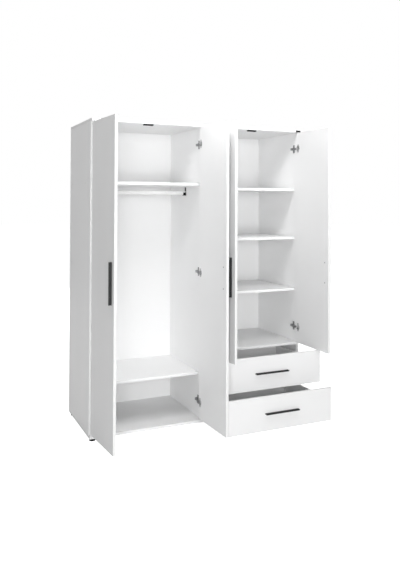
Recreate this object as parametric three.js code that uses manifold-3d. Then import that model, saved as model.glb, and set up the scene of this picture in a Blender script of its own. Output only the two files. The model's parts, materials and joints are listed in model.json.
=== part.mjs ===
// A free-standing wardrobe with four hinged doors and two drawers, in white melamine-faced board.
// The left half is for hanging clothes. The right half has shelves above two drawers.
// Everything is built in the cabinet's own coordinates, in millimetres: x runs to the right from
// the outer face of the left side, y runs back from the front edge of the top panel, and z runs up
// from the floor. The whole group is then moved, so that its origin is on the floor near the middle.

import * as THREE from "three";
import { mergeVertices } from "three/addons/utils/BufferGeometryUtils.js";
import Module from "manifold-3d";

const wasm = await Module();
wasm.setup();

// ---------- driving dimensions ----------

const width = 1600;
const depth = 597;
const carcassHeight = 2067;
const footHeight = 20;
const board = 18;
const backThickness = 3;
const backInset = 1; // the back panels end this far inside the cabinet's outline
const backsGap = 1;
const frontOverhang = 24; // the top and bottom panels stand this far in front of the sides

const doorGap = 2; // between a closed door's inner face and the front edges of the sides
const edgeReveal = 1; // between a door's outer edge and the edge that it lines up with
const meetingGap = 3; // between two closed fronts that meet
const topClearance = 5; // between the doors and the top panel
const bottomClearance = 7; // between the fronts and the bottom panel

const hatShelfZ = 1659;
const hatShelfSetBack = 24;
const lowShelfZ = 334;
const lowShelfSetBack = 42;
const fixedShelfZ = 483;
const looseShelves = { shelf_upper: 1630, shelf_middle: 1267, shelf_lower: 882 };
const looseShelfSetBack = 29;
const looseShelfPlay = 1;

const railY = 300;
const railZ = 1610;
const railTall = 30;
const railWide = 15;
const railWall = 1.2;

const doorOpenAngles = { door_1: 85.6, door_2: 91.5, door_3: 84.7, door_4: 89.8 };
const hingeFromDoorEnd = 116.5;
const hingeScrewLine = 37; // from the front edge of a side to the middle of a hinge plate
const cupRadius = 17.5;
const cupDepth = 12;
const cupFromEdge = 22.5;

const handleLength = 257;
const handleWide = 9;
const handleReach = 19;
const handleLip = 5; // thickness of the handle's outer lip and of its base
const handleGroove = 2; // depth of the finger groove along each side of the handle
const handlePlay = 0.1; // between the handle's base and the face that it is screwed to
const handleFromFreeEdge = 41;

const drawerFrontLeft = 803;
const drawerFrontRight = 1598;
const drawerFrontHeight = 224.5;
const drawerPulledOut = { upper_drawer: 256, lower_drawer: 387 };
const drawerBoard = 15;
const drawerBoxHeight = 140;
const drawerBoxLength = 520;
const drawerBoxAboveFrontFoot = 17.5;
const drawerSideRoom = 13; // for the runner on each side
const drawerBottomThickness = 3;
const drawerBottomUp = 10;
const grooveDepth = 6;
const grooveHeight = 3.4;
const sheetPlay = 0.2;
const runnerLength = 500;
const runnerTall = 45;
const runnerDeep = 9.5;
const runnerWall = 1.5;
const runnerAboveBox = 30; // from the bottom of the drawer's side to the bottom of its runner
const runnerBehindSides = 3;

const footRadius = 20;
const footInset = 27;
const footFrontY = 36;
const footMiddleFrontY = 70;
const footRearY = 560;

const catchLength = 68;
const catchDeep = 21;
const catchTall = 9;
const catchSetBack = 0.5;

const tagLength = 40;
const tagTall = 12;
const tagThick = 1;

// ---------- levels and planes that follow from them ----------

const roof = footHeight + carcassHeight;
const floorTop = footHeight + board;
const roofUnder = roof - board;
const boardsBack = depth - backThickness;
const dividerLeft = (width - board) / 2;
const dividerRight = dividerLeft + board;
const doorInnerY = frontOverhang - doorGap;
const doorOuterY = doorInnerY - board;
const frontsBottom = floorTop + bottomClearance;
const doorsTop = roofUnder - topClearance;
const upperDrawerBottom = frontsBottom + drawerFrontHeight + meetingGap;
const shortDoorBottom = upperDrawerBottom + drawerFrontHeight + meetingGap;
const doorWide = width / 4 - edgeReveal - meetingGap / 2;
const tallDoorMiddle = (frontsBottom + doorsTop) / 2;

// A door turns about a line in the plane of its outer face. The line is just far enough in from the
// door's edge for that edge to clear the side of the cabinet as it swings past.
const pivotBehind = frontOverhang - doorOuterY;
const pivotInset = Math.sqrt(2 * doorGap * pivotBehind - doorGap * doorGap);

// ---------- materials ----------

function finish(color, roughness, metalness = 0) {
  return new THREE.MeshStandardMaterial({ color, roughness, metalness });
}

const whiteBoard = finish(0xf1f1f0, 0.45);
const whiteBack = finish(0xf3f3f2, 0.6);
const drawerWhite = finish(0xe9e9e8, 0.55);
const blackMetal = finish(0x17181a, 0.4, 0.6);
const blackPlastic = finish(0x141414, 0.5);
const steel = finish(0xb9bcc0, 0.3, 0.9);
const whiteSteel = finish(0xe6e6e4, 0.35, 0.4);

// ---------- helpers ----------

const wardrobe = new THREE.Group();

function addMesh(name, geometry, material, parent = wardrobe) {
  const mesh = new THREE.Mesh(geometry, material.clone());
  mesh.name = name;
  parent.add(mesh);
  return mesh;
}

// A box between two corners.
function block(x0, x1, y0, y1, z0, z1) {
  const geometry = new THREE.BoxGeometry(x1 - x0, y1 - y0, z1 - z0);
  return geometry.translate((x0 + x1) / 2, (y0 + y1) / 2, (z0 + z1) / 2);
}

// An outline in the x-y plane, drawn up from z0 to z1.
function prism(points, z0, z1) {
  const shape = new THREE.Shape(points.map(([x, y]) => new THREE.Vector2(x, y)));
  const geometry = new THREE.ExtrudeGeometry(shape, { depth: z1 - z0, bevelEnabled: false });
  return geometry.translate(0, 0, z0);
}

// A stadium outline in the y-z plane, drawn along x.
function ovalBar(wide, tall, x0, x1, y, z) {
  const r = wide / 2;
  const shape = new THREE.Shape();
  shape.absarc(0, tall / 2 - r, r, 0, Math.PI, false);
  shape.absarc(0, r - tall / 2, r, Math.PI, 2 * Math.PI, false);
  const options = { depth: x1 - x0, bevelEnabled: false, curveSegments: 10 };
  const geometry = new THREE.ExtrudeGeometry(shape, options);
  geometry.rotateX(Math.PI / 2);
  geometry.rotateZ(Math.PI / 2);
  return geometry.translate(x0, y, z);
}

function toSolid(geometry) {
  const bare = geometry.clone();
  bare.deleteAttribute("normal");
  bare.deleteAttribute("uv");
  const merged = mergeVertices(bare, 1e-4);
  const mesh = new wasm.Mesh({
    numProp: 3,
    vertProperties: merged.attributes.position.array,
    triVerts: new Uint32Array(merged.index.array),
  });
  return new wasm.Manifold(mesh);
}

function toGeometry(solid) {
  const mesh = solid.getMesh();
  const geometry = new THREE.BufferGeometry();
  geometry.setAttribute("position", new THREE.BufferAttribute(mesh.vertProperties, 3));
  geometry.setIndex(new THREE.BufferAttribute(mesh.triVerts, 1));
  const flat = geometry.toNonIndexed();
  flat.computeVertexNormals();
  return flat;
}

function join(geometries) {
  const solids = geometries.map(toSolid);
  return toGeometry(solids.reduce((whole, piece) => whole.add(piece)));
}

function cut(geometry, tools) {
  const solids = tools.map(toSolid);
  return toGeometry(solids.reduce((whole, tool) => whole.subtract(tool), toSolid(geometry)));
}

const ordered = (a, b) => [Math.min(a, b), Math.max(a, b)];

// ---------- the carcass ----------

function buildCarcass() {
  addMesh("top_panel", block(0, width, 0, boardsBack, roofUnder, roof), whiteBoard);
  addMesh("bottom_panel", block(0, width, 0, boardsBack, footHeight, floorTop), whiteBoard);
  const uprights = { left_side: 0, divider: dividerLeft, right_side: width - board };
  for (const [name, x] of Object.entries(uprights)) {
    addMesh(name, block(x, x + board, frontOverhang, boardsBack, floorTop, roofUnder), whiteBoard);
  }
  const backs = {
    back_left: [backInset, (width - backsGap) / 2],
    back_right: [(width + backsGap) / 2, width - backInset],
  };
  for (const [name, [x0, x1]] of Object.entries(backs)) {
    addMesh(name, block(x0, x1, boardsBack, depth, footHeight + backInset, roof - backInset), whiteBack);
  }
}

function buildShelves() {
  const shelf = (name, x0, x1, setBack, back, z) =>
    addMesh(name, block(x0, x1, frontOverhang + setBack, back, z, z + board), whiteBoard);
  shelf("hat_shelf", board, dividerLeft, hatShelfSetBack, boardsBack, hatShelfZ);
  shelf("low_shelf", board, dividerLeft, lowShelfSetBack, boardsBack, lowShelfZ);
  shelf("fixed_shelf", dividerRight, width - board, 0, boardsBack, fixedShelfZ);
  for (const [name, z] of Object.entries(looseShelves)) {
    const left = dividerRight + looseShelfPlay;
    const right = width - board - looseShelfPlay;
    shelf(name, left, right, looseShelfSetBack, boardsBack - 2 * looseShelfPlay, z);
  }
}

function buildFeet() {
  const columns = { left: footInset, middle: width / 2, right: width - footInset };
  for (const [column, x] of Object.entries(columns)) {
    const rows = { front: column === "middle" ? footMiddleFrontY : footFrontY, rear: footRearY };
    for (const [row, y] of Object.entries(rows)) {
      const foot = new THREE.CylinderGeometry(footRadius - 2, footRadius, footHeight, 32);
      foot.rotateX(Math.PI / 2);
      foot.translate(x, y, footHeight / 2);
      addMesh(`foot_${row}_${column}`, foot, blackPlastic);
    }
  }
}

// ---------- the hanging rail ----------

const bracketPlate = 3;
const bracketWide = 18;
const cradleReach = 19;
const cradleWall = 3;
const railFit = 0.3; // clearance between the rail and its brackets
const bracketBottom = railZ - railTall / 2 - railFit - cradleWall;
const bracketTop = railZ + 42;
const cradleTop = railZ + 4;

// A bracket is an upright plate with a cradle at its foot, open at the top to take the rail.
function railBracket(wall, inward) {
  const plateX = ordered(wall, wall + inward * bracketPlate);
  const plate = block(...plateX, railY - bracketWide / 2, railY + bracketWide / 2, bracketBottom, bracketTop);

  const cradleX = ordered(wall, wall + inward * (bracketPlate + cradleReach));
  const halfCradle = railWide / 2 + cradleWall;
  const cradle = block(...cradleX, railY - halfCradle, railY + halfCradle, bracketBottom, cradleTop);

  const pastCradle = 5;
  const seatEnd = bracketPlate + cradleReach + pastCradle;
  const seatX = ordered(wall + inward * bracketPlate, wall + inward * seatEnd);
  const halfSeat = railWide / 2 + railFit;
  const seat = ovalBar(2 * halfSeat, railTall + 2 * railFit, ...seatX, railY, railZ);
  const mouth = block(...seatX, railY - halfSeat, railY + halfSeat, railZ, cradleTop + pastCradle);
  return cut(join([plate, cradle]), [seat, mouth]);
}

function buildRail() {
  const left = board;
  const right = dividerLeft;
  const tubeLeft = left + bracketPlate + railFit;
  const tubeRight = right - bracketPlate - railFit;
  const tube = ovalBar(railWide, railTall, tubeLeft, tubeRight, railY, railZ);
  const bore = ovalBar(railWide - 2 * railWall, railTall - 2 * railWall, left, right, railY, railZ);
  addMesh("hanging_rail", cut(tube, [bore]), whiteSteel);
  addMesh("rail_bracket_left", railBracket(left, 1), blackPlastic);
  addMesh("rail_bracket_right", railBracket(right, -1), blackPlastic);
}

// ---------- small fittings on the carcass ----------

function buildCatches() {
  const front = frontOverhang + catchSetBack;
  for (const [name, x] of [["catch_left", width / 4], ["catch_right", (3 * width) / 4]]) {
    const half = catchLength / 2;
    const body = block(x - half, x + half, front, front + catchDeep, roofUnder - catchTall, roofUnder);
    addMesh(name, body, blackPlastic);
  }
}

function buildEdgeTag() {
  const right = width - 1;
  const low = roofUnder + 1.5;
  addMesh("edge_tag", block(right - tagLength, right, -tagThick, 0, low, low + tagTall), blackPlastic);
}

// The hinge plate has two wings for its screws and a raised foot, and the arm stands on the foot.
const wingTall = 60;
const wingWide = 18;
const wingThick = 2.5;
const plateFootFront = 17; // from the screw line to the front end of the foot
const plateFootBack = 23;
const plateFootTall = 8;
const plateFootWide = 18;
const armWide = 16;
const armLow = 7;
const armHigh = 14;
const noseThick = 6;
const noseBehindDoorFace = 9;

// The arm's nose ends inside the door's cup when the door is shut.
const noseFromDoorEdge = 28.5;

// A hinge's fixed half, drawn on a face at x = 0 that looks towards +x, with its middle at z = 0.
function hingeArm(noseOff) {
  const line = frontOverhang + hingeScrewLine;
  const wings = block(0, wingThick, line - wingWide / 2, line + wingWide / 2, -wingTall / 2, wingTall / 2);
  const footZ = [-plateFootWide / 2, plateFootWide / 2];
  const foot = block(0, plateFootTall, line - plateFootFront, line + plateFootBack, ...footZ);
  const nose = doorOuterY + noseBehindDoorFace;
  const armBack = line + plateFootBack + 4;
  const outline = [
    [armLow, armBack],
    [armLow, line - plateFootFront + 1],
    [noseOff, nose + 14],
    [noseOff, nose],
    [noseOff + noseThick, nose],
    [noseOff + noseThick, nose + 16],
    [armHigh, line - plateFootFront + 3],
    [armHigh, armBack],
  ];
  return join([wings, foot, prism(outline, -armWide / 2, armWide / 2)]);
}

// Where the four doors hang: the face that carries their hinge plates, and the door's own edge.
const hangings = {
  1: { face: board, hand: 1, doorEdge: edgeReveal, bottom: frontsBottom },
  2: { face: dividerLeft, hand: -1, doorEdge: width / 2 - edgeReveal, bottom: frontsBottom },
  3: { face: dividerRight, hand: 1, doorEdge: width / 2 + edgeReveal, bottom: shortDoorBottom },
  4: { face: width - board, hand: -1, doorEdge: width - edgeReveal, bottom: shortDoorBottom },
};

// A tall door has a third hinge in the middle.
function hingeLevels(bottom) {
  const levels = { low: bottom + hingeFromDoorEnd, top: doorsTop - hingeFromDoorEnd };
  if (bottom === frontsBottom) levels.middle = tallDoorMiddle;
  return levels;
}

function buildHingeArms() {
  for (const [number, { face, hand, doorEdge, bottom }] of Object.entries(hangings)) {
    const noseOff = noseFromDoorEdge - Math.abs(face - doorEdge);
    for (const [level, z] of Object.entries(hingeLevels(bottom))) {
      const arm = hingeArm(noseOff);
      if (hand < 0) arm.rotateY(Math.PI);
      arm.translate(face, 0, z);
      addMesh(`hinge_${number}_${level}`, arm, steel);
    }
  }
}

// ---------- handles ----------

// A straight bar with a finger groove along each side. It lies along z, with its base against the
// plane y = 0, and reaches towards -y.
function handleBar() {
  const side = handleWide / 2;
  const neck = side - handleGroove;
  const lipBack = handleLip - handleReach;
  const half = [
    [side, -handlePlay],
    [side, -handleLip],
    [neck, -handleLip],
    [neck, lipBack],
    [side, lipBack],
    [side, -handleReach],
  ];
  const otherHalf = half.map(([x, y]) => [-x, y]).reverse();
  return prism([...half, ...otherHalf], -handleLength / 2, handleLength / 2);
}

// ---------- doors ----------

// Each door is a group that turns about its hinge line. hand is 1 when the hinges are on its left.
function buildDoor(name, { hand, doorEdge, bottom }) {
  const swing = new THREE.Group();
  swing.position.set(doorEdge + hand * pivotInset, doorOuterY, 0);
  swing.rotation.z = -hand * THREE.MathUtils.degToRad(doorOpenAngles[name]);
  wardrobe.add(swing);

  const nearEdge = -hand * pivotInset;
  const freeEdge = nearEdge + hand * doorWide;
  const slab = block(...ordered(nearEdge, freeEdge), 0, board, bottom, doorsTop);
  const boreDepth = cupDepth + 1;
  const cups = Object.values(hingeLevels(bottom)).map((z) => {
    const cup = new THREE.CylinderGeometry(cupRadius, cupRadius, boreDepth, 40);
    return cup.translate(nearEdge + hand * cupFromEdge, board + 1 - boreDepth / 2, z);
  });
  addMesh(name, cut(slab, cups), whiteBoard, swing);

  const handle = handleBar().translate(freeEdge - hand * handleFromFreeEdge, 0, tallDoorMiddle);
  addMesh(`${name}_handle`, handle, blackMetal, swing);
}

function buildDoors() {
  for (const [number, hanging] of Object.entries(hangings)) {
    buildDoor(`door_${number}`, hanging);
  }
}

// ---------- drawers ----------

function buildDrawer(name, bottom) {
  const slide = new THREE.Group();
  slide.position.y = -drawerPulledOut[name];
  wardrobe.add(slide);

  const boxLeft = dividerRight + drawerSideRoom;
  const boxRight = width - board - drawerSideRoom;
  const boxFront = doorInnerY;
  const boxBack = boxFront + drawerBoxLength;
  const low = bottom + drawerBoxAboveFrontFoot;
  const high = low + drawerBoxHeight;
  const sheetLow = low + drawerBottomUp;
  const sheetHigh = sheetLow + drawerBottomThickness;
  const grooveLow = sheetLow - (grooveHeight - drawerBottomThickness) / 2;
  const inLeft = boxLeft + drawerBoard;
  const inRight = boxRight - drawerBoard;
  const sheetLeft = inLeft - grooveDepth + 0.5;
  const sheetRight = inRight + grooveDepth - 0.5;

  const frontTop = bottom + drawerFrontHeight;
  const front = block(drawerFrontLeft, drawerFrontRight, doorOuterY, doorInnerY, bottom, frontTop);
  addMesh(`${name}_front`, front, whiteBoard, slide);

  const grooveX = [inLeft - grooveDepth, inRight + grooveDepth];
  const groove = block(...grooveX, boxFront - 1, boxBack + 1, grooveLow, grooveLow + grooveHeight);
  const leftSide = cut(block(boxLeft, inLeft, boxFront, boxBack, low, high), [groove]);
  const rightSide = cut(block(inRight, boxRight, boxFront, boxBack, low, high), [groove]);
  const back = block(inLeft, inRight, boxBack - drawerBoard, boxBack, sheetHigh + sheetPlay, high);
  const sheet = block(sheetLeft, sheetRight, boxFront, boxBack, sheetLow, sheetHigh);
  addMesh(`${name}_left_side`, leftSide, drawerWhite, slide);
  addMesh(`${name}_right_side`, rightSide, drawerWhite, slide);
  addMesh(`${name}_back`, back, drawerWhite, slide);
  addMesh(`${name}_bottom`, sheet, drawerWhite, slide);

  const handle = handleBar();
  const frontMiddle = (drawerFrontLeft + drawerFrontRight) / 2;
  handle.rotateY(Math.PI / 2);
  handle.translate(frontMiddle, doorOuterY, bottom + drawerFrontHeight / 2);
  addMesh(`${name}_handle`, handle, blackMetal, slide);

  buildRunners(name, low);
}

// The half of each runner that is screwed to the cabinet: a channel that opens towards the drawer.
function buildRunners(name, boxLow) {
  const low = boxLow + runnerAboveBox;
  const high = low + runnerTall;
  const front = frontOverhang + runnerBehindSides;
  const back = front + runnerLength;
  const channel = (wall, inward) => {
    const outsideX = ordered(wall, wall + inward * runnerDeep);
    const insideX = ordered(wall + inward * runnerWall, wall + inward * (runnerDeep + 1));
    const outside = block(...outsideX, front, back, low, high);
    const inside = block(...insideX, front - 1, back + 1, low + runnerWall, high - runnerWall);
    return cut(outside, [inside]);
  };
  addMesh(`${name}_left_runner`, channel(dividerRight, 1), steel);
  addMesh(`${name}_right_runner`, channel(width - board, -1), steel);
}

// ---------- the whole wardrobe ----------

buildCarcass();
buildShelves();
buildFeet();
buildRail();
buildCatches();
buildEdgeTag();
buildHingeArms();
buildDoors();
buildDrawer("upper_drawer", upperDrawerBottom);
buildDrawer("lower_drawer", frontsBottom);

// The origin is on the floor, on the middle plane of the cabinet, and halfway between the free edges
// of the open doors and the back.
const originY = 97;
wardrobe.position.set(-width / 2, -originY, 0);

export default wardrobe;
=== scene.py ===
import json
import math

import bmesh
import bpy
from mathutils import Matrix, Vector


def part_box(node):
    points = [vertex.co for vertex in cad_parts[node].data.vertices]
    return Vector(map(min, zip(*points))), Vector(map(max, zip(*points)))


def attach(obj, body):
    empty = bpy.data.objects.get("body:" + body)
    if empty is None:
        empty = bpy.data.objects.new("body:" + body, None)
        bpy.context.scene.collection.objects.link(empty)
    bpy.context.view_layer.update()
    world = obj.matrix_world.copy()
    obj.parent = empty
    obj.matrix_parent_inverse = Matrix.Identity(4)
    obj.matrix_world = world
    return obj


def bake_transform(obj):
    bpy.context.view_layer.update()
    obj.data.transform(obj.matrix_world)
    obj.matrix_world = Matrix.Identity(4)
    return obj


# A white wardrobe with four hinged doors and two drawers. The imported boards, handles and fittings
# are carried over, with softened edges and their own materials. The pieces that are too small for
# the CAD model are built here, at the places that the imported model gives: hinge cups, screws,
# shelf pins, cover caps, nails, and the moving halves of the drawer runners.

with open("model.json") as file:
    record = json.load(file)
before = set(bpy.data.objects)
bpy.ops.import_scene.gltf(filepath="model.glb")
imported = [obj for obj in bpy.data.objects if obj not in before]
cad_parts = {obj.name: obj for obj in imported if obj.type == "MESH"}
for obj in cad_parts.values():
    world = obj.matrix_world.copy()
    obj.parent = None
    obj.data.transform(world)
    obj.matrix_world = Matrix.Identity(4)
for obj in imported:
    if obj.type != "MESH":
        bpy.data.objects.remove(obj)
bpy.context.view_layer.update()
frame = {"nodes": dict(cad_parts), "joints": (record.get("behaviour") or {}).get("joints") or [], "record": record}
nodes = frame["nodes"]
joints = {joint["name"]: joint for joint in frame["joints"]}

MM = 0.001
AROUND = 48  # points round a circle

DOORS = {1: 1, 2: -1, 3: 1, 4: -1}  # door number: 1 if its hinges are on its left, -1 on its right
DRAWERS = ("upper_drawer", "lower_drawer")
LOOSE_SHELVES = ("shelf_upper", "shelf_middle", "shelf_lower")


# ---------- materials ----------

NOISE_LOW = 0.3  # nearly all of a noise texture's values lie between these two
NOISE_HIGH = 0.7
SAME_WAY = 0.7  # cosine of the widest angle at which two directions still count as the same


def new_material(name, **constants):
    """A material, its node tree and its shader. constants are the shader's own values."""
    made = bpy.data.materials.new(name)
    made.use_nodes = True
    tree = made.node_tree
    shader = tree.nodes["Principled BSDF"]
    for socket, value in constants.items():
        shader.inputs[socket.replace("_", " ")].default_value = value
    return made, tree, shader


def add(tree, kind, **settings):
    node = tree.nodes.new(kind)
    for name, value in settings.items():
        setattr(node, name, value)
    return node


def noise(tree, scale, detail=2.0, stretch=(1, 1, 1)):
    """The output of a noise texture in the object's own metres; scale is in waves to the metre."""
    place = add(tree, "ShaderNodeTexCoord")
    mapping = add(tree, "ShaderNodeMapping")
    mapping.inputs["Scale"].default_value = stretch
    texture = add(tree, "ShaderNodeTexNoise")
    texture.inputs["Scale"].default_value = scale
    texture.inputs["Detail"].default_value = detail
    tree.links.new(place.outputs["Object"], mapping.inputs["Vector"])
    tree.links.new(mapping.outputs["Vector"], texture.inputs["Vector"])
    return texture.outputs["Fac"]


def ramp(tree, factor, low, high):
    """A colour that goes from low to high over the range of a noise texture, factor."""
    node = add(tree, "ShaderNodeValToRGB")
    first, last = node.color_ramp.elements
    first.position, last.position = NOISE_LOW, NOISE_HIGH
    first.color, last.color = (*low, 1), (*high, 1)
    tree.links.new(factor, node.inputs["Fac"])
    return node.outputs["Color"]


def spread(tree, factor, low, high):
    """A value that goes from low to high over the range of a noise texture, factor."""
    node = add(tree, "ShaderNodeMapRange")
    node.inputs["From Min"].default_value = NOISE_LOW
    node.inputs["From Max"].default_value = NOISE_HIGH
    node.inputs["To Min"].default_value = low
    node.inputs["To Max"].default_value = high
    tree.links.new(factor, node.inputs["Value"])
    return node.outputs["Result"]


def mix(tree, factor, first, second):
    node = add(tree, "ShaderNodeMix", data_type="RGBA")
    tree.links.new(factor, node.inputs["Factor"])
    tree.links.new(first, node.inputs["A"])
    tree.links.new(second, node.inputs["B"])
    return node.outputs["Result"]


def bump(tree, shader, height, strength, distance):
    node = add(tree, "ShaderNodeBump")
    node.inputs["Strength"].default_value = strength
    node.inputs["Distance"].default_value = distance
    tree.links.new(height, node.inputs["Height"])
    tree.links.new(node.outputs["Normal"], shader.inputs["Normal"])


def facing(tree, direction, two_sided=True):
    """1 where the surface looks along direction, in the object's own frame, and 0 elsewhere."""
    place = add(tree, "ShaderNodeTexCoord")
    dot = add(tree, "ShaderNodeVectorMath", operation="DOT_PRODUCT")
    dot.inputs[1].default_value = direction
    tree.links.new(place.outputs["Normal"], dot.inputs[0])
    result = dot.outputs["Value"]
    if two_sided:
        size = add(tree, "ShaderNodeMath", operation="ABSOLUTE")
        tree.links.new(result, size.inputs[0])
        result = size.outputs["Value"]
    step = add(tree, "ShaderNodeMath", operation="GREATER_THAN")
    step.inputs[1].default_value = SAME_WAY
    tree.links.new(result, step.inputs[0])
    return step.outputs["Value"]


def melamine(name, thin_axis, painted_shade_side=None):
    """White melamine board: a fine pearl grain on the two faces, and smooth banding on the edges.
    The last argument is the direction of a front's outer face; that face is painted a little darker, as painted
    shade on the lamp-lit fronts."""
    made, tree, shader = new_material(name, Specular_IOR_Level=0.3)
    on_face = facing(tree, thin_axis)
    cloud = noise(tree, 1.7, 3)
    pearl = noise(tree, 620, 2)
    face = ramp(tree, cloud, (0.866, 0.868, 0.870), (0.886, 0.887, 0.888))
    # Painted shade: the outer face of a door or drawer front gets a darker white than the rest of the board.
    if painted_shade_side:
        front = ramp(tree, cloud, (0.772, 0.774, 0.776), (0.792, 0.793, 0.794))
        face = mix(tree, facing(tree, painted_shade_side, two_sided=False), face, front)
    edge = ramp(tree, noise(tree, 30, 2), (0.800, 0.801, 0.801), (0.815, 0.816, 0.816))
    tree.links.new(mix(tree, on_face, edge, face), shader.inputs["Base Color"])
    tree.links.new(spread(tree, pearl, 0.36, 0.50), shader.inputs["Roughness"])
    bump(tree, shader, pearl, 0.25, 0.00012)
    return made


def hardboard(name):
    """Thin board with a white printed face inside and bare brown fibre on the wall side."""
    made, tree, shader = new_material(name, Specular_IOR_Level=0.3)
    behind = facing(tree, (0, 1, 0), two_sided=False)
    fibre = noise(tree, 260, 5, (1, 1, 0.55))
    white = ramp(tree, noise(tree, 2.3, 3), (0.842, 0.844, 0.846), (0.860, 0.862, 0.864))
    brown = ramp(tree, fibre, (0.150, 0.085, 0.045), (0.310, 0.195, 0.110))
    tree.links.new(mix(tree, behind, white, brown), shader.inputs["Base Color"])
    tree.links.new(spread(tree, fibre, 0.52, 0.70), shader.inputs["Roughness"])
    bump(tree, shader, fibre, 0.2, 0.0002)
    return made


def drawer_foil(name):
    made, tree, shader = new_material(name, Specular_IOR_Level=0.3)
    grain = noise(tree, 380, 3)
    color = ramp(tree, noise(tree, 4, 3), (0.840, 0.842, 0.844), (0.862, 0.864, 0.866))
    tree.links.new(color, shader.inputs["Base Color"])
    tree.links.new(spread(tree, grain, 0.48, 0.62), shader.inputs["Roughness"])
    bump(tree, shader, grain, 0.25, 0.00015)
    return made


def powder_coat(name, low, high, rough):
    """Painted metal with the fine orange peel of a powder coat."""
    made, tree, shader = new_material(name, Specular_IOR_Level=0.42)
    peel = noise(tree, 1500, 2)
    tree.links.new(ramp(tree, noise(tree, 60, 3), low, high), shader.inputs["Base Color"])
    tree.links.new(spread(tree, peel, rough - 0.05, rough + 0.07), shader.inputs["Roughness"])
    bump(tree, shader, peel, 0.35, 0.0001)
    return made


def moulded_plastic(name, low, high, rough):
    made, tree, shader = new_material(name, Specular_IOR_Level=0.2)
    grain = noise(tree, 2400, 3)
    tree.links.new(ramp(tree, noise(tree, 45, 2), low, high), shader.inputs["Base Color"])
    tree.links.new(spread(tree, grain, rough - 0.06, rough + 0.06), shader.inputs["Roughness"])
    bump(tree, shader, grain, 0.3, 0.00008)
    return made


def plated_steel(name, low, high, rough, stretch):
    """Pressed steel with a thin plating, and faint lines along the direction it was rolled in."""
    made, tree, shader = new_material(name, Metallic=1.0)
    lines = noise(tree, 900, 3, stretch)
    tree.links.new(ramp(tree, noise(tree, 70, 4), low, high), shader.inputs["Base Color"])
    tree.links.new(spread(tree, lines, rough - 0.06, rough + 0.10), shader.inputs["Roughness"])
    bump(tree, shader, lines, 0.2, 0.00006)
    return made


def stage_floor(name):
    """A white floor that is shown at full white out to its far edge, and lights nothing by itself."""
    made, tree, shader = new_material(name, Roughness=0.9, Specular_IOR_Level=0.0)
    color = ramp(tree, noise(tree, 0.4, 2), (0.78, 0.78, 0.78), (0.80, 0.80, 0.80))
    tree.links.new(color, shader.inputs["Base Color"])
    shader.inputs["Emission Color"].default_value = (1, 1, 1, 1)
    rays = add(tree, "ShaderNodeLightPath")
    shown = add(tree, "ShaderNodeMath", operation="MULTIPLY")
    shown.inputs[1].default_value = FLOOR_SHOWN
    tree.links.new(rays.outputs["Is Camera Ray"], shown.inputs[0])
    tree.links.new(shown.outputs["Value"], shader.inputs["Emission Strength"])
    return made


# ---------- where the doors are ----------


def swing_of(number):
    """The turn that brings door number from shut to where it stands at rest, in the row frame."""
    joint = joints[f"door_{number}_swing"]
    pivot = Matrix.Translation(Vector(joint["pos_m"]))
    opened = math.radians(-joint["range_deg"][0])
    return pivot @ Matrix.Rotation(opened, 4, Vector(joint["axis"])) @ pivot.inverted()


def shut_box(number):
    """The lowest and highest corner of door number when it is shut."""
    back = swing_of(number).inverted()
    corners = [back @ vertex.co for vertex in nodes[f"door_{number}"].data.vertices]
    low = Vector([min(corner[i] for corner in corners) for i in range(3)])
    high = Vector([max(corner[i] for corner in corners) for i in range(3)])
    return low, high


def thin_axis_of(name):
    """The direction that a board's largest face looks in."""
    largest = max(nodes[name].data.polygons, key=lambda polygon: polygon.area)
    return tuple(round(value, 4) for value in largest.normal)


# ---------- mesh helpers ----------

SMOOTH_ANGLE = math.radians(35)
SWAP_Y_AND_Z = Matrix(((1, 0, 0, 0), (0, 0, 1, 0), (0, 1, 0, 0), (0, 0, 0, 1)))


def finish_piece(name, mesh, body, material):
    """Makes an object of the mesh, gives it its material, and lets it ride on the body."""
    bmesh.ops.recalc_face_normals(mesh, faces=mesh.faces)
    data = bpy.data.meshes.new(name)
    mesh.to_mesh(data)
    mesh.free()
    data.polygons.foreach_set("use_smooth", [True] * len(data.polygons))
    data.set_sharp_from_angle(angle=SMOOTH_ANGLE)
    piece = bpy.data.objects.new(name, data)
    bpy.context.scene.collection.objects.link(piece)
    data.materials.append(material)
    if body:
        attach(piece, body)
    return piece


def loft(mesh, rings, place):
    """Joins rings of equal length into a closed skin. A ring is (outline, height): outline gives the
    radius at an angle, or is a number. A radius of 0 closes an end. place sets it in the row frame."""
    rows = []
    for outline, height in rings:
        if outline == 0:
            rows.append([mesh.verts.new(place @ Vector((0, 0, height)))])
            continue
        row = []
        for i in range(AROUND):
            angle = 2 * math.pi * i / AROUND
            radius = outline(angle) if callable(outline) else outline
            point = Vector((radius * math.cos(angle), radius * math.sin(angle), height))
            row.append(mesh.verts.new(place @ point))
        rows.append(row)
    for first, second in zip(rows, rows[1:]):
        for i in range(AROUND):
            j = (i + 1) % AROUND
            if len(first) == 1:
                mesh.faces.new((first[0], second[i], second[j]))
            elif len(second) == 1:
                mesh.faces.new((first[i], second[0], first[j]))
            else:
                mesh.faces.new((first[i], second[i], second[j], first[j]))


def extrude(mesh, outline, start, end, place):
    """A closed prism: outline is a list of (x, y), drawn from height start to height end."""
    low = [mesh.verts.new(place @ Vector((x, y, start))) for x, y in outline]
    high = [mesh.verts.new(place @ Vector((x, y, end))) for x, y in outline]
    mesh.faces.new(low)
    mesh.faces.new(list(reversed(high)))
    for i in range(len(outline)):
        j = (i + 1) % len(outline)
        mesh.faces.new((low[i], high[i], high[j], low[j]))


def looking(point, direction):
    """A place at point whose own z looks along direction."""
    turn = Vector(direction).to_track_quat("Z", "Y").to_matrix().to_4x4()
    return Matrix.Translation(Vector(point)) @ turn


def cross_recess(size):
    """The outline of a cross-head screw's recess."""
    return lambda angle: size * (0.38 + 0.62 * abs(math.cos(2 * angle)) ** 3)


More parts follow.
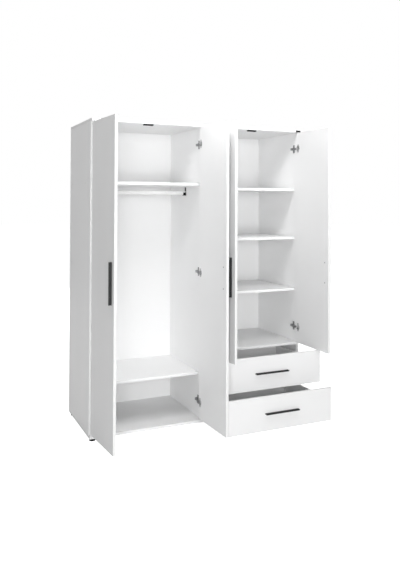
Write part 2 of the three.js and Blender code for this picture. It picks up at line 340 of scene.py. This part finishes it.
def screw_head(mesh, point, direction, radius, tall):
    """A pan head with a cross recess, standing on point."""
    recess = 0.62 * radius
    rings = [
        (0, 0),
        (radius, 0),
        (radius, 0.45 * tall),
        (0.93 * radius, 0.75 * tall),
        (0.78 * radius, tall),
        (recess, tall),
        (cross_recess(recess), 0.97 * tall),
        (cross_recess(0.6 * recess), 0.45 * tall),
        (0, 0.4 * tall),
    ]
    loft(mesh, rings, looking(point, direction))


# ---------- hinges ----------

CUP_FROM_EDGE = 22.5 * MM
CUP_RADIUS = 16.9 * MM
CUP_SHEET = 0.8 * MM
CUP_DEEP = 11.0 * MM
FLANGE_THICK = 1.2 * MM
FLANGE_RING = 19.0 * MM
FLANGE_HALF_TALL = 30.0 * MM
FLANGE_HALF_WIDE = 8.5 * MM
FLANGE_EDGE = 0.35 * MM  # bevel round its top
EAR_ROUNDING = 10.0 * MM
FLANGE_SCREWS = 24.0 * MM
FLANGE_SCREW = (3.6 * MM, 1.4 * MM)  # radius and height of its head
LINK_APART = 5.5 * MM  # from the hinge's middle to each link's middle
LINK_HALF_WIDE = 1.6 * MM
LINK_TOP = 1.7 * MM  # above the door's inner face
LINK_OVER_FLANGE = 0.05 * MM
LINK_END = 1.2 * MM  # from the door's edge
NEARLY_ZERO = 1e-6


def flange_outline(angle):
    """A round flange with an ear above and an ear below, where its two screws go."""
    across, up = abs(math.cos(angle)), abs(math.sin(angle))
    to_side = FLANGE_HALF_WIDE / max(across, NEARLY_ZERO)
    slope = across / max(up, NEARLY_ZERO)
    to_end = (FLANGE_HALF_TALL - EAR_ROUNDING * slope**2) / max(up, NEARLY_ZERO)
    return max(FLANGE_RING, min(to_side, to_end))


def door_normal_place(number, from_edge, z):
    """A place on the inner face of a shut door, from_edge in from its hinge edge. Its z looks into
    the cabinet, and its x runs towards the door's free edge."""
    hand = DOORS[number]
    low, high = shut_box(number)
    edge = low.x if hand > 0 else high.x
    axes = Matrix(((hand, 0, 0, 0), (0, 0, 1, 0), (0, 1, 0, 0), (0, 0, 0, 1)))
    return Matrix.Translation((edge + hand * from_edge, high.y, z)) @ axes


def hinge_cup(number, level):
    """The half of a hinge that is let into the door: bowl, flange, screws, and the links' ends."""
    arm_low, arm_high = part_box(f"hinge_{number}_{level}")
    z = (arm_low.z + arm_high.z) / 2
    swing = swing_of(number)
    place = swing @ door_normal_place(number, CUP_FROM_EDGE, z)
    inside = CUP_RADIUS - CUP_SHEET
    mesh = bmesh.new()
    rings = [
        (0, -CUP_DEEP),
        (CUP_RADIUS - 1.2 * MM, -CUP_DEEP),
        (CUP_RADIUS - 0.3 * MM, -CUP_DEEP + 1.0 * MM),
        (CUP_RADIUS, 0),
        (flange_outline, 0),
        (flange_outline, FLANGE_THICK - FLANGE_EDGE),
        (lambda angle: flange_outline(angle) - FLANGE_EDGE, FLANGE_THICK),
        (inside + 0.6 * MM, FLANGE_THICK),
        (inside, FLANGE_THICK - 0.6 * MM),
        (inside - 0.4 * MM, -CUP_DEEP + 2.0 * MM),
        (inside - 1.6 * MM, -CUP_DEEP + CUP_SHEET),
        (0, -CUP_DEEP + CUP_SHEET),
    ]
    loft(mesh, rings, place)
    to_edge = CUP_FROM_EDGE - LINK_END
    # From the door's edge over the flange, and bent down into the cup.
    strip = [
        (-to_edge, FLANGE_THICK + LINK_OVER_FLANGE),
        (-to_edge, LINK_TOP),
        (-12.0 * MM, LINK_TOP),
        (-3.0 * MM, -6.0 * MM),
        (-3.0 * MM, -8.5 * MM),
        (-6.0 * MM, -8.5 * MM),
        (-14.5 * MM, FLANGE_THICK + LINK_OVER_FLANGE),
    ]
    # The links are drawn in the plane across the hinge, so y and z change places.
    across = place @ SWAP_Y_AND_Z
    for middle in (-LINK_APART, LINK_APART):
        extrude(mesh, strip, middle - LINK_HALF_WIDE, middle + LINK_HALF_WIDE, across)
    for side in (-1, 1):
        point = place @ Vector((0, side * FLANGE_SCREWS, FLANGE_THICK))
        screw_head(mesh, point, place.to_3x3() @ Vector((0, 0, 1)), *FLANGE_SCREW)
    name = f"hinge_cup_{number}_{level}"
    return finish_piece(name, mesh, f"door_{number}", cup_metal)


PLATE_SCREW = (3.6 * MM, 1.8 * MM)  # radius and height of its head
PLATE_SCREWS = 21.0 * MM  # above and below the hinge's middle
PLATE_SCREW_Y = 61.0 * MM  # behind the front of the top panel
WING_THICK = 2.5 * MM
ARM_TOP = 14.0 * MM
ADJUSTER = (3.0 * MM, 1.2 * MM)
ADJUSTERS = (46.0 * MM, 72.0 * MM)  # behind the front of the top panel


def hinge_screws(number, level):
    """The screws of the hinge's fixed half: two in its plate, and two adjusters on its arm."""
    hand = DOORS[number]
    low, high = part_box(f"hinge_{number}_{level}")
    wall = low.x if hand > 0 else high.x
    z = (low.z + high.z) / 2
    inward = (hand, 0, 0)
    mesh = bmesh.new()
    for side in (-1, 1):
        point = (wall + hand * WING_THICK, front_y + PLATE_SCREW_Y, z + side * PLATE_SCREWS)
        screw_head(mesh, point, inward, *PLATE_SCREW)
    for y in ADJUSTERS:
        screw_head(mesh, (wall + hand * ARM_TOP, front_y + y, z), inward, *ADJUSTER)
    name = f"hinge_screws_{number}_{level}"
    return finish_piece(name, mesh, "cabinet", screw_metal)


# ---------- screws, caps, pins and nails ----------

HANDLE_SCREW = (4.0 * MM, 2.0 * MM)  # radius and height of its head
HANDLE_SCREWS = 70.0 * MM  # above and below, or left and right of, a handle's middle
HANDLE_FROM_EDGE = 41.0 * MM


def door_handle_screws(number):
    low, high = shut_box(number)
    handle_low, handle_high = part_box(f"door_{number}_handle")
    middle = (handle_low.z + handle_high.z) / 2
    from_hinge = (high.x - low.x) - HANDLE_FROM_EDGE
    swing = swing_of(number)
    mesh = bmesh.new()
    for side in (-1, 1):
        place = swing @ door_normal_place(number, from_hinge, middle + side * HANDLE_SCREWS)
        direction = place.to_3x3() @ Vector((0, 0, 1))
        screw_head(mesh, place.translation, direction, *HANDLE_SCREW)
    return finish_piece(f"handle_screws_{number}", mesh, f"door_{number}", screw_metal)


def drawer_handle_screws(drawer):
    low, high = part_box(f"{drawer}_front")
    middle = (low + high) / 2
    mesh = bmesh.new()
    for side in (-1, 1):
        point = (middle.x + side * HANDLE_SCREWS, high.y, middle.z)
        screw_head(mesh, point, (0, 1, 0), *HANDLE_SCREW)
    return finish_piece(f"{drawer}_handle_screws", mesh, drawer, screw_metal)


BOX_SCREW = (3.5 * MM, 0.6 * MM)  # radius and height of its head
BOX_SCREW_SHARES = (0.3, 0.75)  # of the height of the drawer's side
CAM_BEHIND_FRONT = 34 * MM
CAM = [(0, 0), (7.0 * MM, 0), (6.6 * MM, 0.5 * MM), (0, 0.5 * MM)]


def drawer_box_screws(drawer):
    """Countersunk screws through each side into the back, and cams in the sides near the front."""
    mesh = bmesh.new()
    cams = bmesh.new()
    back_low, back_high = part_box(f"{drawer}_back")
    back_y = (back_low.y + back_high.y) / 2
    for side, out in (("left", -1), ("right", 1)):
        low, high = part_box(f"{drawer}_{side}_side")
        outer = low.x if out < 0 else high.x
        inner = high.x if out < 0 else low.x
        for share in BOX_SCREW_SHARES:
            z = low.z + share * (high.z - low.z)
            screw_head(mesh, (outer, back_y, z), (out, 0, 0), *BOX_SCREW)
            loft(cams, CAM, looking((inner, low.y + CAM_BEHIND_FRONT, z), (-out, 0, 0)))
    finish_piece(f"{drawer}_box_screws", mesh, drawer, screw_metal)
    finish_piece(f"{drawer}_cams", cams, drawer, white_plastic)


CAP_RADIUS = 6.5 * MM
CAP_TALL = 0.7 * MM
CAP_COLUMNS = (160 * MM, 523 * MM)  # behind the front of the top panel


def cover_caps():
    """White caps over the screws that hold the hat shelf and the fixed shelf."""
    for side, shelf, out in (("left_side", "hat_shelf", -1), ("right_side", "fixed_shelf", 1)):
        low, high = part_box(side)
        shelf_low, shelf_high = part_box(shelf)
        face = low.x if out < 0 else high.x
        z = (shelf_low.z + shelf_high.z) / 2
        mesh = bmesh.new()
        for y in CAP_COLUMNS:
            cap = [
                (0, 0),
                (CAP_RADIUS, 0),
                (CAP_RADIUS - 0.3 * MM, 0.7 * CAP_TALL),
                (CAP_RADIUS - 1.4 * MM, CAP_TALL),
                (0, CAP_TALL),
            ]
            loft(mesh, cap, looking((face, front_y + y, z), (out, 0, 0)))
        finish_piece(f"cover_caps_{side}", mesh, "cabinet", white_plastic)


TOP_SCREW = (4.6 * MM, 0.5 * MM)  # radius and height of its head
TOP_SCREW_SHARES = (0.12, 0.5, 0.88)  # of the depth of the board below


def top_screws():
    """Flat screws through the top panel into the three uprights."""
    top_low, top_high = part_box("top_panel")
    mesh = bmesh.new()
    for upright in ("left_side", "divider", "right_side"):
        low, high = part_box(upright)
        for share in TOP_SCREW_SHARES:
            point = ((low.x + high.x) / 2, low.y + share * (high.y - low.y), top_high.z)
            screw_head(mesh, point, (0, 0, 1), *TOP_SCREW)
    return finish_piece("top_screws", mesh, "cabinet", screw_metal)


NAIL_STEP = 150 * MM
NAIL_INSET = 8 * MM
NAIL = [(0, 0), (2.4 * MM, 0), (2.1 * MM, 0.35 * MM), (0, 0.4 * MM)]


def back_nails():
    """Small flat nails round each back panel."""
    mesh = bmesh.new()
    for side in ("left", "right"):
        low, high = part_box(f"back_{side}")
        left, right = low.x + NAIL_INSET, high.x - NAIL_INSET
        bottom, top = low.z + NAIL_INSET, high.z - NAIL_INSET
        rows = round((top - bottom) / NAIL_STEP)
        columns = round((right - left) / NAIL_STEP)
        heights = [bottom + i * (top - bottom) / rows for i in range(rows + 1)]
        points = [(x, z) for x in (left, right) for z in heights]
        for z in (bottom, top):
            points += [(left + i * (right - left) / columns, z) for i in range(1, columns)]
        for x, z in points:
            loft(mesh, NAIL, looking((x, high.y, z), (0, 1, 0)))
    return finish_piece("back_nails", mesh, "cabinet", screw_metal)


PIN_COLUMNS = (130 * MM, 515 * MM)  # behind the front of the top panel
PIN_REACH = 11 * MM
PIN_RADIUS = 2.5 * MM
PIN_COLLAR = 4.2 * MM
PIN_BELOW_SHELF = 4.3 * MM
SPARE_HOLES = {"shelf_upper": (-64 * MM,), "shelf_lower": (32 * MM, -32 * MM)}  # above the pins
HOLE_DEEP = 10 * MM


def shelf_walls():
    """The two faces that carry the loose shelves, each with the direction away from it."""
    return {
        "divider": (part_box("divider")[1].x, 1),
        "right_side": (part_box("right_side")[0].x, -1),
    }


def shelf_pins(shelf):
    """Four pins that the shelf lies on, each with a collar against the wall."""
    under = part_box(shelf)[0].z
    mesh = bmesh.new()
    for face, out in shelf_walls().values():
        for y in PIN_COLUMNS:
            pin = [
                (0, 0),
                (PIN_COLLAR, 0),
                (PIN_COLLAR, 1.4 * MM),
                (PIN_RADIUS + 0.4 * MM, 2.2 * MM),
                (PIN_RADIUS, 2.6 * MM),
                (PIN_RADIUS, PIN_REACH - 0.6 * MM),
                (PIN_RADIUS - 0.6 * MM, PIN_REACH),
                (0, PIN_REACH),
            ]
            point = (face, front_y + y, under - PIN_BELOW_SHELF)
            loft(mesh, pin, looking(point, (out, 0, 0)))
    return finish_piece(f"pins_{shelf}", mesh, "cabinet", white_plastic)


def spare_holes():
    """Bores the spare holes for the shelf pins into the two walls."""
    bore = [(0, -HOLE_DEEP), (PIN_RADIUS, -HOLE_DEEP), (PIN_RADIUS, 1 * MM), (0, 1 * MM)]
    for wall, (face, out) in shelf_walls().items():
        mesh = bmesh.new()
        for shelf, offsets in SPARE_HOLES.items():
            pin_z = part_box(shelf)[0].z - PIN_BELOW_SHELF
            for offset in offsets:
                for y in PIN_COLUMNS:
                    place = looking((face, front_y + y, pin_z + offset), (out, 0, 0))
                    loft(mesh, bore, place)
        cutter = finish_piece(f"holes_in_{wall}", mesh, None, white_plastic)
        cutter.hide_render = True
        cutter.hide_viewport = True
        cut = nodes[wall].modifiers.new("pin holes", "BOOLEAN")
        cut.operation = "DIFFERENCE"
        cut.solver = "EXACT"
        cut.object = cutter


BRACKET_SCREW = (3.6 * MM, 1.8 * MM)  # radius and height of its head
BRACKET_SHEET = 3.0 * MM
BRACKET_SCREW_DOWN = 10 * MM  # from the bracket's top


def bracket_screws():
    """One screw in the upright plate of each rail bracket."""
    for side, out in (("left", 1), ("right", -1)):
        low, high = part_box(f"rail_bracket_{side}")
        wall = low.x if out > 0 else high.x
        mesh = bmesh.new()
        point = (wall + out * BRACKET_SHEET, (low.y + high.y) / 2, high.z - BRACKET_SCREW_DOWN)
        screw_head(mesh, point, (out, 0, 0), *BRACKET_SCREW)
        finish_piece(f"bracket_screw_{side}", mesh, "cabinet", screw_metal)


# ---------- drawer runners ----------

RUNNER_ROOM = 13.0 * MM  # between the cabinet's wall and the drawer's side
RUNNER_SHEET = 1.1 * MM
# Each channel's nearest and furthest distance from the wall, and its height.
INNER_CHANNEL = (6.4 * MM, RUNNER_ROOM - 0.15 * MM, 29 * MM)
MIDDLE_CHANNEL = (2.6 * MM, 6.0 * MM, 38 * MM)


def channel(mesh, wall, out, profile, middle, start, end):
    """A channel along y. Its web is far from the wall, and its lips reach back to near."""
    near, far, tall = profile
    back, front = wall + out * near, wall + out * far
    inner = front - out * RUNNER_SHEET
    half = tall / 2
    outline = [
        (front, middle + half),
        (back, middle + half),
        (back, middle + half - RUNNER_SHEET),
        (inner, middle + half - RUNNER_SHEET),
        (inner, middle - half + RUNNER_SHEET),
        (back, middle - half + RUNNER_SHEET),
        (back, middle - half),
        (front, middle - half),
    ]
    # The outline lies in x and z, and is drawn along y.
    extrude(mesh, outline, start, end, SWAP_Y_AND_Z)


def drawer_runner(drawer, side, out):
    """The half of a runner that is screwed to the drawer, and the slide between the two halves."""
    low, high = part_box(f"{drawer}_{side}_runner")
    wall = low.x if out > 0 else high.x
    middle = (low.z + high.z) / 2
    length = high.y - low.y
    pulled = -joints[f"{drawer}_slide"]["range_m"][0]
    mesh = bmesh.new()
    start = low.y - pulled
    channel(mesh, wall, out, INNER_CHANNEL, middle, start, start + length)
    finish_piece(f"{drawer}_{side}_slide_inner", mesh, drawer, runner_metal)
    mesh = bmesh.new()
    start = low.y - pulled / 2
    channel(mesh, wall, out, MIDDLE_CHANNEL, middle, start, start + length)
    slide = finish_piece(f"{drawer}_{side}_slide_middle", mesh, None, runner_metal)
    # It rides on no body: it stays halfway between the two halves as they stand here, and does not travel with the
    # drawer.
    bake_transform(slide)


# ---------- the carried-over parts ----------


def soften(name, width):
    """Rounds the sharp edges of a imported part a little."""
    part = nodes[name]
    packed_normals = part.data.attributes.get("custom_normal")
    if packed_normals:
        part.data.attributes.remove(packed_normals)
    part.data.polygons.foreach_set("use_smooth", [False] * len(part.data.polygons))
    weld = part.modifiers.new("weld", "WELD")
    weld.merge_threshold = 1e-5
    if width:
        bevel = part.modifiers.new("edges", "BEVEL")
        bevel.width = width
        bevel.segments = 2
        bevel.limit_method = "ANGLE"
        bevel.angle_limit = math.radians(40)


def round_shading(name):
    """Smooth shading that stops at the sharp edges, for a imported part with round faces."""
    part = nodes[name]
    part.data.polygons.foreach_set("use_smooth", [True] * len(part.data.polygons))
    split = part.modifiers.new("sharp edges", "EDGE_SPLIT")
    split.split_angle = math.radians(30)


def dress(names, material):
    for name in names:
        part = nodes[name]
        part.data.materials.clear()
        part.data.materials.append(material)


# ---------- the stage ----------

FLOOR_SHOWN = 1.0
FLOOR_RADIUS = 40.0
FLOOR_TOP = -0.5 * MM
FLOOR_BOTTOM = -20 * MM
WORLD_LIGHT = 0.03
LIGHTS = {
    # name: (place it shines from, point it shines at, width, height, power in watts)
    "front_left": ((-3.4, -6.5, 1.4), (0.0, -0.1, 1.0), 2.5, 2.5, 228),
    "front_right": ((0.4, -7.0, 1.4), (0.0, -0.1, 1.0), 3.0, 3.0, 162),
    "left_rear": ((-4.0, 1.5, 2.6), (-0.8, 0.1, 1.0), 2.0, 2.0, 47),
    "over_front": ((-0.4, -1.5, 3.4), (0.0, -0.1, 1.0), 2.0, 1.0, 23),
    "over_right": ((1.0, -1.5, 3.4), (0.0, -0.1, 1.0), 1.2, 1.0, 18),
    "key": ((-0.25, -0.62, 2.68), (-0.25, -0.5, 0.0), 0.45, 0.25, 9),
    "right": ((5.5, 1.2, 2.2), (0.8, 0.0, 1.0), 3.0, 3.0, 120),
    "rear": ((1.2, 6.5, 2.4), (0.0, 0.5, 1.0), 3.5, 3.0, 260),
}


def build_floor():
    mesh = bmesh.new()
    rim = [(FLOOR_RADIUS, FLOOR_BOTTOM), (FLOOR_RADIUS, FLOOR_TOP)]
    loft(mesh, [(0, FLOOR_BOTTOM), *rim, (0, FLOOR_TOP)], Matrix())
    floor = finish_piece("floor", mesh, None, stage_floor("floor_white"))


def build_lights():
    for name, (place, aim, wide, tall, power) in LIGHTS.items():
        data = bpy.data.lights.new(name, "AREA")
        data.shape = "RECTANGLE"
        data.size, data.size_y = wide, tall
        data.energy = power
        light = bpy.data.objects.new(name, data)
        light.location = place
        light.rotation_euler = (Vector(aim) - light.location).to_track_quat("-Z", "Y").to_euler()
        light.visible_camera = False
        bpy.context.scene.collection.objects.link(light)


def build_world():
    """White behind the object, and a weaker even light all round."""
    world = bpy.data.worlds.new("studio")
    bpy.context.scene.world = world
    world.use_nodes = True
    tree = world.node_tree
    shown = tree.nodes["Background"]
    shown.inputs["Color"].default_value = (1, 1, 1, 1)
    shown.inputs["Strength"].default_value = 1.0
    lighting = add(tree, "ShaderNodeBackground")
    lighting.name = "lighting"
    lighting.inputs["Color"].default_value = (1, 1, 1, 1)
    lighting.inputs["Strength"].default_value = WORLD_LIGHT
    rays = add(tree, "ShaderNodeLightPath")
    choose = add(tree, "ShaderNodeMixShader")
    tree.links.new(rays.outputs["Is Camera Ray"], choose.inputs["Fac"])
    tree.links.new(lighting.outputs["Background"], choose.inputs[1])
    tree.links.new(shown.outputs["Background"], choose.inputs[2])
    tree.links.new(choose.outputs["Shader"], tree.nodes["World Output"].inputs["Surface"])


CAMERA_AT = Vector((-1.83310, -4.02932, 1.53924))
CAMERA_YAW = math.radians(24.2135)
CAMERA_PITCH = math.radians(1.0825)
CAMERA_ROLL = math.radians(0.2330)
CAMERA_LENS = 39.289
CAMERA_SHIFT = (0.00818, -0.16507)
SENSOR_WIDTH = 36


def build_camera():
    data = bpy.data.cameras.new("camera")
    data.lens = CAMERA_LENS
    data.sensor_width = SENSOR_WIDTH
    data.shift_x, data.shift_y = CAMERA_SHIFT
    data.clip_start, data.clip_end = 0.05, 200
    camera = bpy.data.objects.new("camera", data)
    bpy.context.scene.collection.objects.link(camera)
    forward = Vector((math.sin(CAMERA_YAW), math.cos(CAMERA_YAW), 0))
    ahead = forward * math.cos(CAMERA_PITCH) + Vector((0, 0, math.sin(CAMERA_PITCH)))
    right = Vector((math.cos(CAMERA_YAW), -math.sin(CAMERA_YAW), 0))
    upright = right.cross(ahead)
    across = math.cos(CAMERA_ROLL) * right + math.sin(CAMERA_ROLL) * upright
    up = -math.sin(CAMERA_ROLL) * right + math.cos(CAMERA_ROLL) * upright
    turn = Matrix((across, up, -ahead)).transposed().to_4x4()
    camera.matrix_world = Matrix.Translation(CAMERA_AT) @ turn
    bpy.context.scene.camera = camera


# ---------- putting it together ----------

front_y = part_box("top_panel")[0].y

back_white = hardboard("back_hardboard")
drawer_white = drawer_foil("drawer_foil")
handle_black = powder_coat("black_powder_coat", (0.004, 0.004, 0.005), (0.008, 0.008, 0.009), 0.33)
rail_white = powder_coat("white_powder_coat", (0.72, 0.72, 0.72), (0.76, 0.76, 0.76), 0.32)
black_plastic = moulded_plastic("black_plastic", (0.004, 0.004, 0.004), (0.008, 0.008, 0.008), 0.50)
white_plastic = moulded_plastic("white_plastic", (0.74, 0.74, 0.73), (0.80, 0.80, 0.79), 0.35)
hinge_metal = plated_steel("hinge_plating", (0.26, 0.26, 0.265), (0.36, 0.36, 0.365), 0.32, (1, 1, 0.1))
cup_metal = plated_steel("cup_nickel", (0.46, 0.46, 0.465), (0.58, 0.58, 0.585), 0.30, (1, 1, 0.1))
screw_metal = plated_steel("screw_plating", (0.30, 0.30, 0.31), (0.42, 0.42, 0.43), 0.34, (1, 1, 1))
runner_metal = plated_steel("runner_zinc", (0.46, 0.47, 0.48), (0.60, 0.61, 0.62), 0.34, (1, 0.05, 1))

SLOT_MATERIALS = {
    "back_sheet": back_white,
    "drawer_board": drawer_white,
    "black_metal": handle_black,
    "black_plastic": black_plastic,
    "hinge_steel": hinge_metal,
    "runner_steel": runner_metal,
    "rail_metal": rail_white,
}
EDGE_WIDTHS = {
    "white_board": 0.8 * MM,
    "back_sheet": 0.0,
    "drawer_board": 0.8 * MM,
    "black_metal": 0.8 * MM,
    "black_plastic": 1.0 * MM,
    "hinge_steel": 0.5 * MM,
    "runner_steel": 0.0,
    "rail_metal": 0.0,
}

# Each front's outer face, which the melamine paints a little darker as painted shade.
painted_shade_faces = {f"{drawer}_front": (0.0, -1.0, 0.0) for drawer in DRAWERS}
for number in DOORS:
    painted_shade_faces[f"door_{number}"] = tuple(swing_of(number).to_3x3() @ Vector((0, -1, 0)))

board_materials = {}
for subpart in frame["record"]["subparts"]:
    name, slot = subpart["node"], subpart["material_slot"]
    soften(name, EDGE_WIDTHS[slot])
    if slot == "white_board":
        faces = (thin_axis_of(name), painted_shade_faces.get(name))
        if faces not in board_materials:
            board_materials[faces] = melamine(f"melamine_{len(board_materials)}", *faces)
        dress([name], board_materials[faces])
    else:
        dress([name], SLOT_MATERIALS[slot])
round_shading("hanging_rail")
for row in ("front", "rear"):
    for column in ("left", "middle", "right"):
        round_shading(f"foot_{row}_{column}")

for number in DOORS:
    for level in ("low", "middle", "top"):
        if f"hinge_{number}_{level}" in nodes:
            hinge_cup(number, level)
            hinge_screws(number, level)
    door_handle_screws(number)
for drawer in DRAWERS:
    drawer_handle_screws(drawer)
    drawer_box_screws(drawer)
    drawer_runner(drawer, "left", 1)
    drawer_runner(drawer, "right", -1)
for shelf in LOOSE_SHELVES:
    shelf_pins(shelf)
spare_holes()
cover_caps()
top_screws()
back_nails()
bracket_screws()

build_floor()
build_world()
build_lights()
build_camera()
bpy.context.scene.view_settings.view_transform = "Standard"
